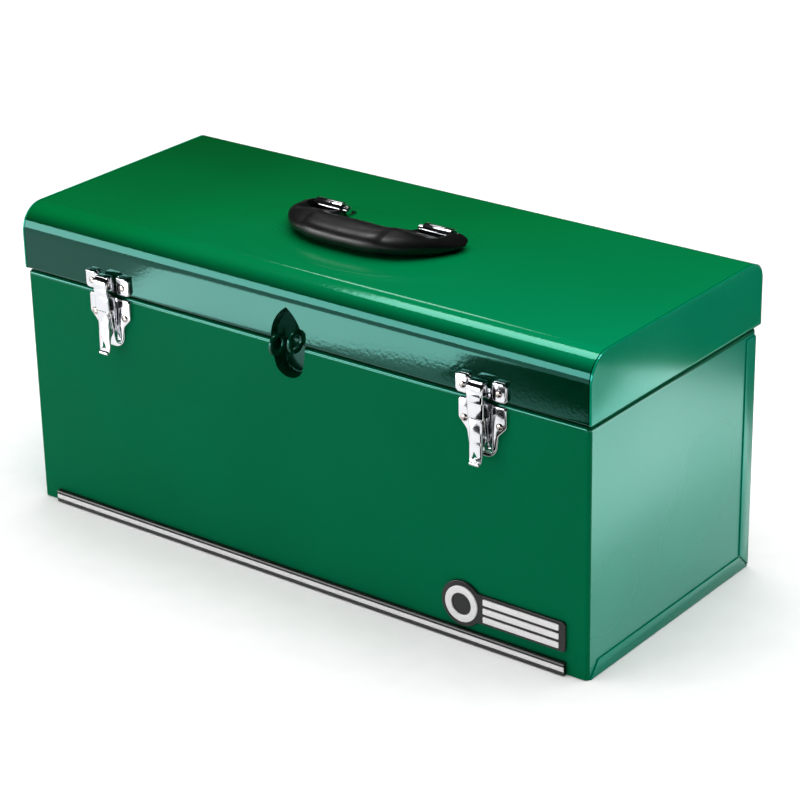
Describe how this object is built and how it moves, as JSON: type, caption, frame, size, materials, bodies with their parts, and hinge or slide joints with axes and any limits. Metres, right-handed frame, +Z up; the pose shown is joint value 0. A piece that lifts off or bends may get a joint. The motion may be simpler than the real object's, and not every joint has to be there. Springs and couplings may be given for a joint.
{
  "type": "hand toolbox",
  "caption": "Long sheet-steel hand toolbox with a hinged lid, a folding bow handle, draw latches, a padlock recess and a lift-out tray.",
  "frame": {"origin": "middle of the underside, on the surface the box stands on", "axes": "+X along the box, to the right seen from the front; -Y is the front with the latches; +Z up"},
  "size_m": [0.5106, 0.228, 0.2573],
  "materials": {
    "green_enamel": "gloss",
    "bright_chrome": "polished",
    "plain_steel": "satin",
    "black_handle_plastic": "satin",
    "black_trim": "gloss",
    "bright_foil": "polished"
  },
  "bodies": {
    "box": {"body_front_and_ends": "green_enamel", "body_back_and_floor": "green_enamel", "tray_ledge_left": "green_enamel", "tray_ledge_right": "green_enamel", "hinge_leaf_body": "green_enamel", "hinge_pin": "plain_steel", "padlock_eye_body": "green_enamel", "trim_moulding": "black_trim", "trim_bright_insert": "bright_foil", "badge_plate": "black_trim", "badge_emblem": "bright_foil", "latch_left_base": "bright_chrome", "latch_right_base": "bright_chrome", "latch_left_rivets": "bright_chrome", "latch_right_rivets": "bright_chrome", "latch_left_pivot_pin": "plain_steel", "latch_right_pivot_pin": "plain_steel"},
    "lid": {"lid_shell": "green_enamel", "lid_end_left": "green_enamel", "lid_end_right": "green_enamel", "hinge_leaf_lid": "green_enamel", "padlock_eye_lid": "green_enamel", "strike_left": "bright_chrome", "strike_right": "bright_chrome", "strike_left_rivets": "bright_chrome", "strike_right_rivets": "bright_chrome", "handle_bracket_left": "bright_chrome", "handle_bracket_right": "bright_chrome", "handle_rivets": "bright_chrome", "handle_backing_plate": "plain_steel"},
    "handle": {"handle_grip": "black_handle_plastic", "handle_pivot_bars": "plain_steel"},
    "latch_left_lever_body": {"latch_left_lever": "bright_chrome"},
    "latch_right_lever_body": {"latch_right_lever": "bright_chrome"},
    "latch_left_link_body": {"latch_left_link": "bright_chrome", "latch_left_link_pin": "plain_steel"},
    "latch_right_link_body": {"latch_right_link": "bright_chrome", "latch_right_link_pin": "plain_steel"},
    "tray": {"tray_pan": "green_enamel", "tray_divider": "green_enamel", "tray_handle": "bright_chrome", "tray_rivets": "plain_steel"}
  },
  "joints": [
    {"name": "lid_hinge", "type": "hinge", "parent": "box", "child": "lid", "pos_m": [0, 0.1086, 0.1891], "axis": [-1, 0, 0], "range_deg": [0, 105]},
    {"name": "handle_swing", "type": "hinge", "parent": "lid", "child": "handle", "pos_m": [0, 0.008, 0.2467], "axis": [-1, 0, 0], "range_deg": [0, 165]},
    {"name": "latch_left_lever_swing", "type": "hinge", "parent": "box", "child": "latch_left_lever_body", "pos_m": [-0.169, -0.1108, 0.1761], "axis": [-1, 0, 0], "range_deg": [0, 105]},
    {"name": "latch_left_link_swing", "type": "hinge", "parent": "latch_left_lever_body", "child": "latch_left_link_body", "pos_m": [-0.169, -0.1092, 0.1651], "axis": [-1, 0, 0], "range_deg": [-116, 0]},
    {"name": "latch_right_lever_swing", "type": "hinge", "parent": "box", "child": "latch_right_lever_body", "pos_m": [0.169, -0.1108, 0.1761], "axis": [-1, 0, 0], "range_deg": [0, 105]},
    {"name": "latch_right_link_swing", "type": "hinge", "parent": "latch_right_lever_body", "child": "latch_right_link_body", "pos_m": [0.169, -0.1092, 0.1651], "axis": [-1, 0, 0], "range_deg": [-116, 0]},
    {"name": "tray_lift", "type": "slide", "parent": "box", "child": "tray", "axis": [0, 0, 1], "range_m": [0, 0.15]}
  ],
  "couplings": [
    {"joint": "tray_lift", "follows": "lid_hinge", "m_per_rad": 0.08},
    {"joint": "latch_left_link_swing", "follows": "latch_left_lever_swing", "ratio": -1.1},
    {"joint": "latch_right_link_swing", "follows": "latch_right_lever_swing", "ratio": -1.1}
  ]
}
